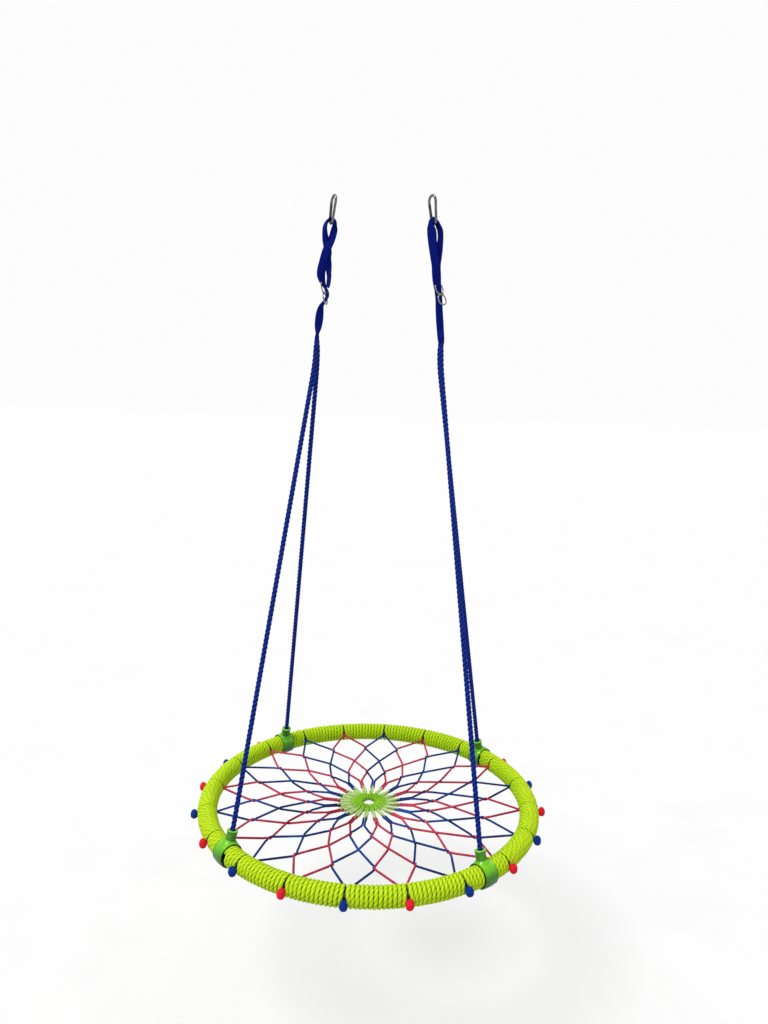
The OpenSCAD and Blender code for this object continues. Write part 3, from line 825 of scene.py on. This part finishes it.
RIGHT_LOOP = [
    # from the slider up to the hook
    (-3.3, 1.2, 107, 9.6, 2, 21), (-3.2, 1.2, 112, 10, 2.3, 22), (-3.8, 0.8, 130, 10.4, 2.4, 22),
    (-4.8, -0.6, 150, 11.4, 2.7, 12), (-5, -3, 170, 11.6, 3, 6), (-4.6, -4.2, 190, 11, 3.3, 0),
    (-5.6, -4.5, 208, 11.2, 3.3, -3), (-7.4, -4.5, 231, 11.4, 3.2, -8), (-8.2, -4, 256, 12.2, 3.2, -12),
    (-8, -4.5, 277, 13, 3.2, -16),
    # round the wire of the hook
    (-9.8, -5, 292, 11, 3, -30, 2), (-8.4, -4, 306, 8, 2.6, -48, 7), (0, 0, 310.6, 6.2, 2.4, -56, 12),
    (8, 4, 303.5, 7.4, 2.6, -56, 8), (12.4, 6, 292, 9.4, 3, -50, 4),
    # down again behind
    (14.4, 5.5, 279, 10, 3.2, -46), (13.4, 5, 260, 10.4, 3.2, -46), (8.6, 4.5, 236, 10.4, 3.2, -30),
    (3, 4.5, 212, 10.2, 3.2, -12), (-1, 5, 192, 9.8, 3, 0), (-2, 6, 172, 9.8, 2.8, 10),
    (-2.5, 7.4, 156, 9.4, 2.5, 20),
    # and hooked round the slider's upper wire
    (-3.8, 7.9, 150, 8, 2.2, 28), (-4.5, 7.2, 145.2, 6.4, 1.9, 34), (-3.9, 6.3, 141.9, 5.6, 1.6, 34, -0.8),
    (-2.4, 4.1, 140.7, 5.2, 1.4, 34, -1.2)]
# The sewn end grips the bend of the hanging rope. In mm: up along the strap, half width and half depth.
LEFT_END = [(-19, 3.4, 7.2), (-13, 5, 9.8), (-5, 5.1, 10.2), (2, 4.7, 9.6), (6, 4.6, 8),
            (12, 6.4, 5.2), (18, 8.2, 3.6), (26, 9, 1.6)]
RIGHT_END = [(-19, 5.4, 7.2), (-13, 7.6, 10), (-5, 8.4, 10.2), (4, 9, 9), (11, 9.3, 6),
             (18, 9.3, 4), (26, 8.8, 1.8)]


def tape(side, stations, doubled):
    """Webbing through stations, with a notch along its edges where it is doubled."""
    q = np.array([tuple(st) + (0,) * (7 - len(st)) for st in stations], float)
    q[:, [0, 1, 2, 3, 4, 6]] *= MM
    q = spline(q, 1.6 * MM)
    half_width, half_thick, cup = q[:, 3:4], q[:, 4:5], q[:, 6:7]
    p = side.foot + q[:, :1] * side.right + q[:, 1:2] * BACK + q[:, 2:3] * side.up
    t = headings(p)
    ang = np.radians(q[:, 5])
    wide = squared_to(t, np.cos(ang)[:, None] * side.right + np.sin(ang)[:, None] * BACK)
    thick = np.cross(t, wide)
    outline = around(28)
    x, y = squared(outline, 0.7, 0.55)
    if doubled:
        x = x * (1 - 0.13 * np.exp(-(np.sin(outline) / 0.22) ** 2))
    bow = cup * (x[None, :] ** 2 - 0.4)
    rings = (p[:, None] + (half_width * x)[..., None] * wide[:, None]
             + (half_thick * y + bow)[..., None] * thick[:, None])
    run = np.broadcast_to(travelled(p)[:, None], (len(p), len(x)))
    pile = Pile()
    pile.tube(rings, np.stack([run, half_width * x, half_thick * y], -1), np.full(rings.shape[:2], 0.5))
    return pile


def sewn_end(side, stations, shift):
    """The gathered end of the strap, shift mm to the right of the strap's line."""
    q = spline(np.array([(shift, 0, up, a, b) for up, a, b in stations], float) * MM, 1.2 * MM)
    half_width, half_depth = q[:, 3:4], q[:, 4:5]
    t = around(40)
    x, y = squared(t, 0.8, 0.8)
    p = side.foot + q[:, :1] * side.right + q[:, 2:3] * side.up
    gather = 1 + 0.035 * np.cos(10 * t)[None, :] * np.sin(np.linspace(0.6, 2.6, len(q)))[:, None]
    rings = (p[:, None] + (half_width * x * gather)[..., None] * side.right
             + (half_depth * y * gather)[..., None] * BACK)
    every = np.ones((len(q), 1))
    lay = np.stack([np.broadcast_to(q[:, 2:3], (len(q), len(t))), 13 * MM * t[None, :] * every,
                    0 * t[None, :] * every], -1)
    pile = Pile()
    pile.tube(rings, lay, np.full(rings.shape[:2], 0.5))
    return pile


def strap(side, low, loop, end, end_shift):
    """The strap in three pieces: the doubled webbing below the slider, the loop above it and the sewn end."""
    node, slider, slot = "strap_" + side.name, side.name + "_slider", "blue_webbing"
    lower = tape(side, low, True).piece(node + "_lower_webbing", WEBBING, slot, node)
    side.along(12)
    side.along(86)
    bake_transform(lower)
    upper = tape(side, loop, False).piece(node + "_loop_webbing", WEBBING, slot)
    side.along(148)
    side.along(232)
    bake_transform(upper)
    cuff = sewn_end(side, end, end_shift).piece(node + "_sewn_end", WEBBING, slot)
    side.along(-12)
    side.along(14)
    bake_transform(cuff)


strap(LEFT, LEFT_LOW, LEFT_LOOP, LEFT_END, 0.0)
strap(RIGHT, RIGHT_LOW, RIGHT_LOOP, RIGHT_END, -6.0)


# ---------------------------------------------------------------- CAD nodes that stay
# by the start of their names, with gate_pin before the gates
STAYS = {"connector_": PLASTIC, "hoop_tube": HOOP, "gate_pin": PIN, "gate_": GATE, "carabiner_": STEEL,
         "slider_": WIRE}
for name, o in frame["nodes"].items():
    look = next((STAYS[start] for start in STAYS if name.startswith(start)), None)
    if look:
        o.data.materials.clear()
        o.data.materials.append(look)


# ---------------------------------------------------------------- studio
def floor():
    """A pale floor. To the camera it is nearly white, while less of that light reaches the swing."""
    z = -0.55
    far = 40.0
    mesh = bpy.data.meshes.new("floor")
    mesh.from_pydata([(-far, -far, z), (far, -far, z), (far, far, z), (-far, far, z)], [], [(0, 1, 2, 3)])
    o = bpy.data.objects.new("floor", mesh)
    bpy.context.scene.collection.objects.link(o)
    k = Look("floor_paint", 0.9)
    k.colour(k.ramp(k.noise(k.coord(), 3.0), [(0.3, (0.54, 0.54, 0.54, 1)), (0.7, (0.56, 0.56, 0.56, 1))]))
    seen = k.camera_ray()
    k.shader.inputs["Emission Color"].default_value = (1, 1, 1, 1)
    k.put(k.shader.inputs["Emission Strength"], k.grey(seen, 0, 1, 0.0, 0.387))
    mesh.materials.append(k.material)


def backdrop():
    """Light from all round. The camera sees it paler than the light it gives, as a lit studio wall is."""
    world = bpy.data.worlds.new("studio")
    bpy.context.scene.world = world
    world.use_nodes = True
    nodes, links = world.node_tree.nodes, world.node_tree.links
    background = next(n for n in nodes if n.type == "BACKGROUND")
    background.inputs["Color"].default_value = (1, 1, 1, 1)
    path = nodes.new("ShaderNodeLightPath")
    level = nodes.new("ShaderNodeMapRange")
    level.inputs["To Min"].default_value = 0.6
    level.inputs["To Max"].default_value = 0.98
    links.new(path.outputs["Is Camera Ray"], level.inputs["Value"])
    links.new(level.outputs["Result"], background.inputs["Strength"])


def key_light():
    """A soft sun from above, in front and to the left."""
    data = bpy.data.lights.new("key", "SUN")
    data.energy = 1.75
    data.angle = math.radians(24)
    o = bpy.data.objects.new("key", data)
    o.rotation_mode = "QUATERNION"
    o.rotation_quaternion = Vector((0.42, 0.38, -1.0)).to_track_quat("-Z", "Y")
    bpy.context.scene.collection.objects.link(o)


def camera():
    """The photo's view: in front, a little to the right and above the seat, looking slightly down."""
    cam = bpy.data.cameras.new("camera")
    cam.lens = 28.53
    cam.sensor_width = 36.0
    cam.clip_start = 0.01
    cam.clip_end = 60
    o = bpy.data.objects.new("camera", cam)
    right = Vector((0.9946, 0.1009, 0.0245)).normalized()
    ahead = Vector((-0.0959, 0.9830, -0.1568)).normalized()
    up = right.cross(ahead).normalized()
    right = ahead.cross(up).normalized()
    o.rotation_mode = "QUATERNION"
    o.rotation_quaternion = Matrix((right, up, -ahead)).transposed().to_quaternion()
    o.location = (0.2432, -2.2484, 1.2605)
    bpy.context.scene.collection.objects.link(o)
    bpy.context.scene.camera = o
    bpy.context.scene.view_settings.view_transform = "Standard"


floor()
backdrop()
key_light()
camera()
